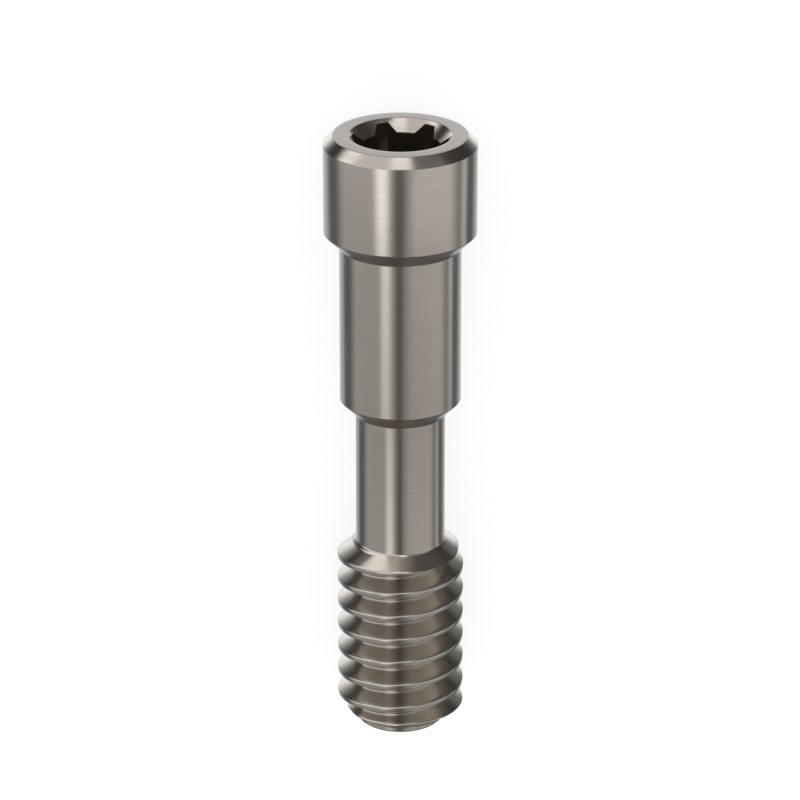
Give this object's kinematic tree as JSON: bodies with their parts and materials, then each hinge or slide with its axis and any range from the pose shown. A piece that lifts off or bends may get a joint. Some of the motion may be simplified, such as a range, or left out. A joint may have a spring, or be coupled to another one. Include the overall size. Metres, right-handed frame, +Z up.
{
  "type": "impression coping screw",
  "caption": "Long retaining screw with a stepped cylindrical head, a six-point driver socket, a slim neck and a fine right-hand thread on a blunt tip.",
  "frame": {"origin": "on the floor, under the middle of the box around the lying screw", "axes": "+Y from the tip to the head, +Z up, on the side that the picture shows; the screw's axis rises 1.36 degrees towards the head, because the head is thicker than the thread that it also lies on"},
  "size_m": [0.0024, 0.01, 0.0024],
  "materials": {
    "titanium": "bare turned titanium alloy, warm grey, with fine circular tool marks"
  },
  "bodies": {
    "root": {"coping_screw": "titanium"}
  },
  "joints": []
}
